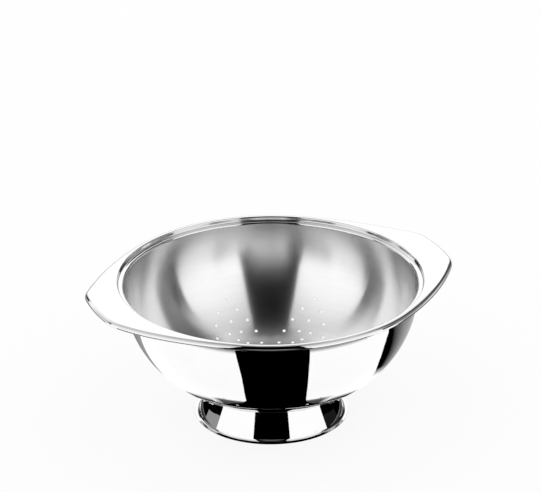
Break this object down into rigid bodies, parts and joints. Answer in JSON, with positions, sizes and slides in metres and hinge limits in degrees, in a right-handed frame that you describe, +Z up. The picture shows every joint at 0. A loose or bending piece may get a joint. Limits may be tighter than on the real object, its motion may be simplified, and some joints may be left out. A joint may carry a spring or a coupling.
{
  "type": "colander",
  "caption": "Footed stainless steel colander: round pressed bowl with fans of drain holes, a stepped rim and a flange drawn out into ear handles.",
  "frame": {"origin": "centre of the foot ring on the surface the colander stands on", "axes": "+X along the two ear handles, +Z up out of the bowl, +Y across the bowl between the ears"},
  "size_m": [0.353, 0.301, 0.14],
  "materials": {
    "bowl_steel": "stainless steel, mirror polished outside and on the flange, satin brushed round the inside",
    "foot_steel": "stainless steel, mirror polished",
    "weld_steel": "dull steel of a spot weld, slightly heat tinted"
  },
  "bodies": {
    "root": {"bowl": "bowl_steel", "foot_ring": "foot_steel", "spot_welds": "weld_steel"}
  },
  "joints": []
}
